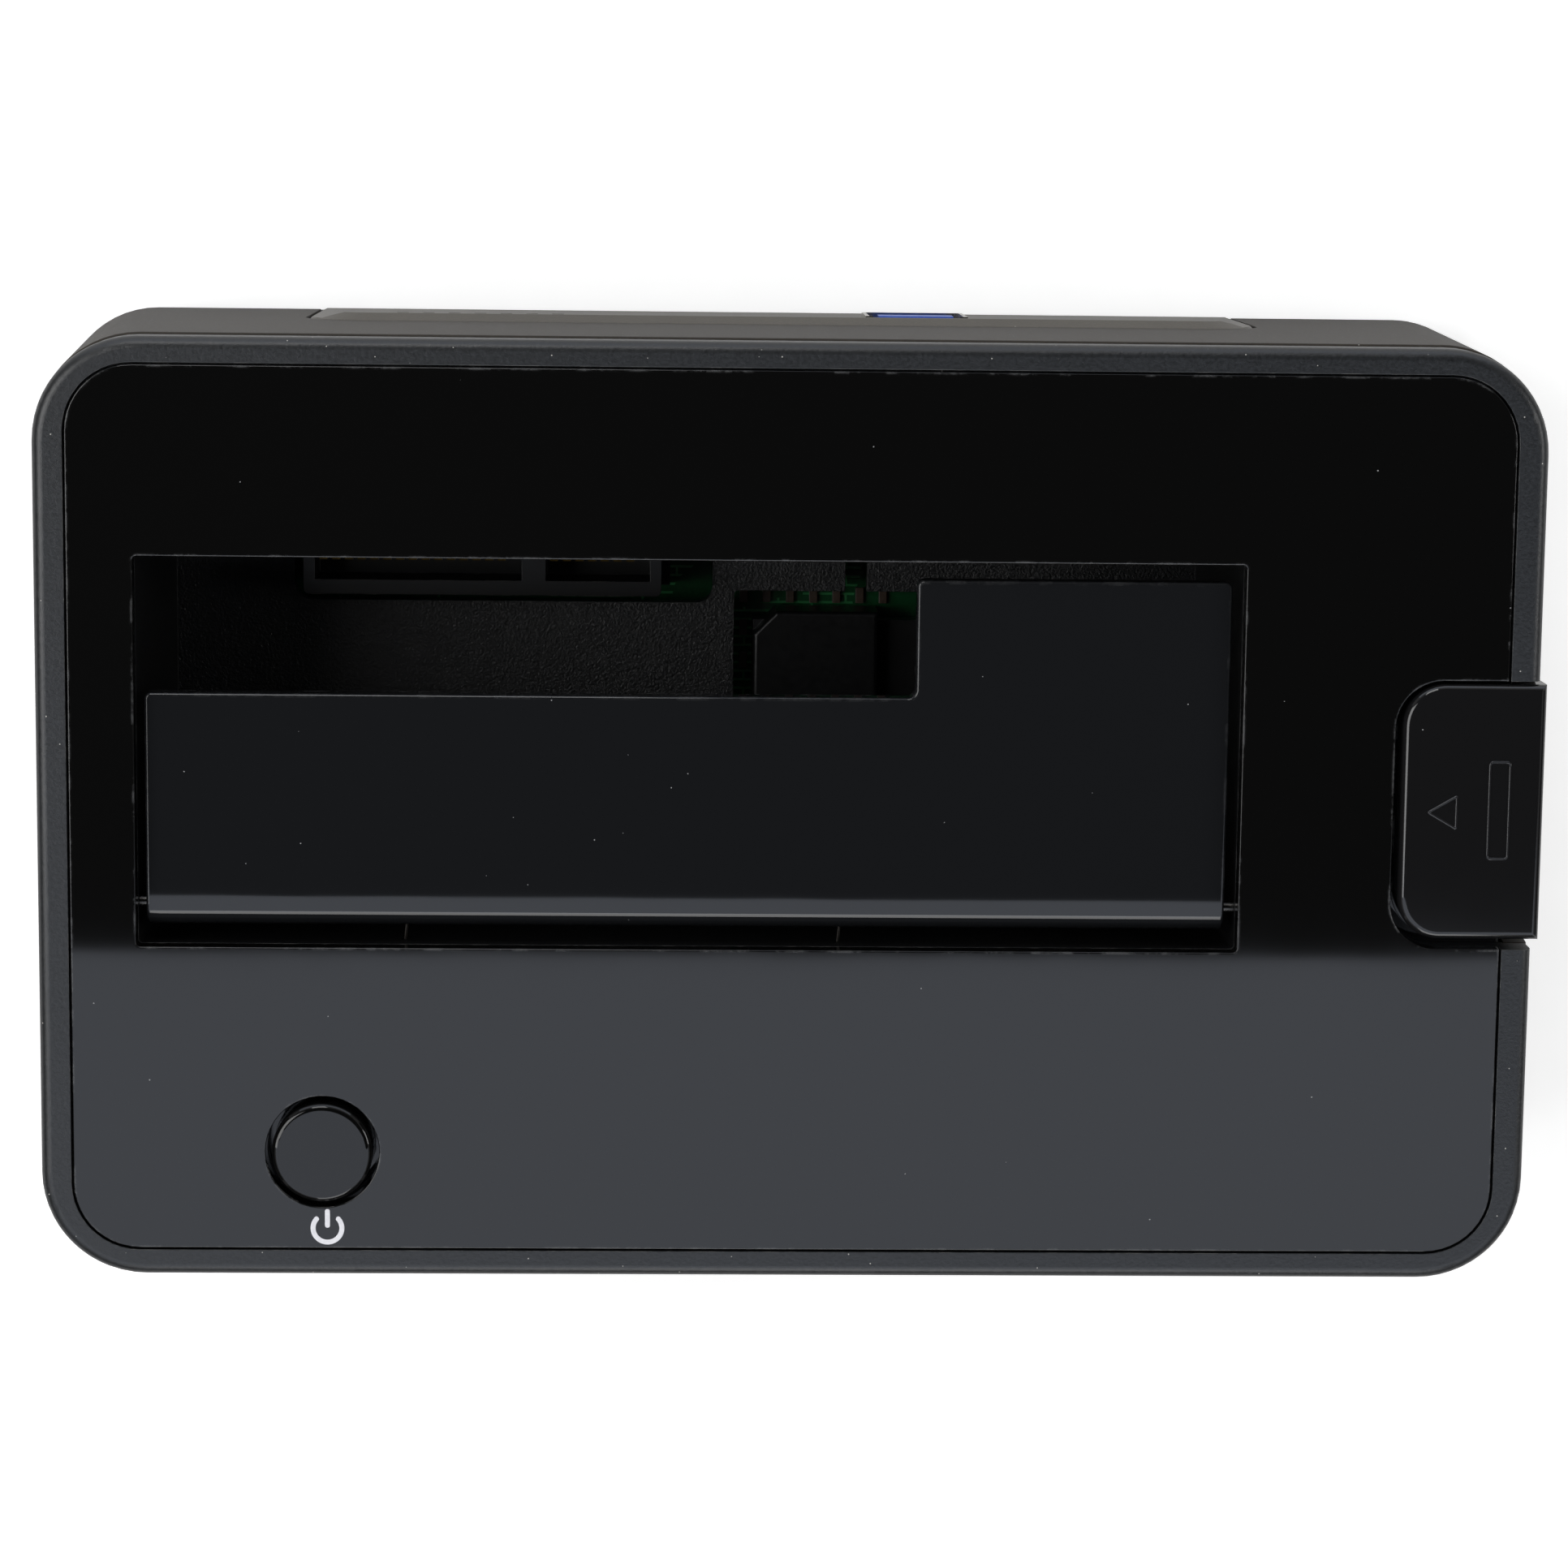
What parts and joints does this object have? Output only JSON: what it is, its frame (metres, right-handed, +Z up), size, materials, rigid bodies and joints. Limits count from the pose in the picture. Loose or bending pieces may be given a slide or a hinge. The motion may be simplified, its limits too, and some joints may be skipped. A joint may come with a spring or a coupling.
{
  "type": "hard drive docking station",
  "caption": "Desktop dock for bare hard drives: a sprung flap over the drive well, an eject button with its lifting lever, a power button and rear ports.",
  "frame": {"origin": "on the desk, under the middle of the case", "axes": "+X to the right along the long side, +Y to the back with the ports, +Z up"},
  "size_m": [0.1494, 0.0897, 0.0627],
  "materials": {
    "satin_cover": "satin moulded ABS",
    "gloss_black": "high-gloss acrylic",
    "housing_plastic": "satin moulded ABS",
    "base_plastic": "fine-grained moulded ABS",
    "panel_plastic": "fine-grained moulded ABS",
    "bay_plastic": "spark-eroded grain, moulded ABS",
    "flap_plastic": "satin moulded ABS",
    "button_gloss": "gloss moulded ABS",
    "power_gloss": "gloss moulded ABS",
    "lever_plastic": "smooth moulded acetal",
    "rubber_foot": "matt",
    "steel_pin": "ground",
    "spring_steel": "drawn wire",
    "screw_steel": "zinc plated",
    "plated_shell": "nickel plated",
    "lock_steel": "zinc plated sheet",
    "board_green": "solder mask over glass epoxy",
    "connector_black": "moulded, glass filled",
    "usb_blue": "moulded",
    "contact_gold": "gold flashed",
    "chip_black": "moulded epoxy",
    "can_aluminium": "drawn can",
    "crystal_can": "drawn can",
    "ferrite": "pressed ferrite",
    "ceramic": "fired ceramic",
    "header_white": "moulded nylon",
    "lead_grey": "ribbon cable",
    "led_lens": "cast resin"
  },
  "bodies": {
    "dock": {"top_cover": "satin_cover", "gloss_top_plate": "gloss_black", "main_housing": "housing_plastic", "base_cover": "base_plastic", "rear_port_panel": "panel_plastic", "drive_bay": "bay_plastic", "flap_spring_left": "spring_steel", "flap_spring_right": "spring_steel", "eject_return_spring": "spring_steel", "lever_pivot_pin": "steel_pin", "power_switch_body": "connector_black", "power_switch_board": "board_green", "status_led": "led_lens", "main_board": "board_green", "sata_receptacle": "connector_black", "sata_contacts": "contact_gold", "usb_port_shell": "plated_shell", "usb_port_insulator": "usb_blue", "usb_contacts": "contact_gold", "esata_port_shell": "plated_shell", "esata_port_insulator": "connector_black", "power_inlet": "connector_black", "power_inlet_pin": "steel_pin", "lock_plate": "lock_steel", "bridge_chip": "chip_black", "voltage_regulators": "chip_black", "crystal": "crystal_can", "capacitors": "can_aluminium", "power_inductor": "ferrite", "small_surface_parts": "ceramic", "switch_board_header": "header_white", "main_board_header": "header_white", "switch_lead": "lead_grey", "case_screws": "screw_steel", "bay_screws": "screw_steel", "switch_board_screws": "screw_steel", "board_screws": "screw_steel", "rubber_foot_front_left": "rubber_foot", "rubber_foot_back_left": "rubber_foot", "rubber_foot_front_right": "rubber_foot", "rubber_foot_back_right": "rubber_foot"},
    "flap": {"drive_flap": "flap_plastic", "flap_hinge_pin": "steel_pin"},
    "ejector": {"eject_button": "button_gloss"},
    "lever": {"eject_lever": "lever_plastic"},
    "power_key": {"power_button": "power_gloss", "power_switch_plunger": "connector_black"}
  },
  "joints": [
    {"name": "drive_flap_hinge", "type": "hinge", "parent": "dock", "child": "flap", "pos_m": [0, -0.0089, 0.0584], "axis": [-1, 0, 0], "range_deg": [0, 86], "stiffness_Nm_per_rad": 0.004, "springref_deg": -45.84, "deforming": ["flap_spring_left", "flap_spring_right"]},
    {"name": "eject_button_slide", "type": "slide", "parent": "dock", "child": "ejector", "axis": [0, 0, -1], "range_m": [0, 0.0075], "stiffness_N_per_m": 150, "springref_m": -0.008, "deforming": ["eject_return_spring"]},
    {"name": "eject_lever_hinge", "type": "hinge", "parent": "dock", "child": "lever", "pos_m": [0.025, 0, 0.0194], "axis": [0, 1, 0], "range_deg": [0, 12.15]},
    {"name": "power_button_slide", "type": "slide", "parent": "dock", "child": "power_key", "axis": [0, 0, -1], "range_m": [0, 0.0012], "stiffness_N_per_m": 400, "springref_m": -0.001}
  ],
  "couplings": [
    {"joint": "eject_lever_hinge", "follows": "eject_button_slide", "rad_per_m": 28.16}
  ]
}
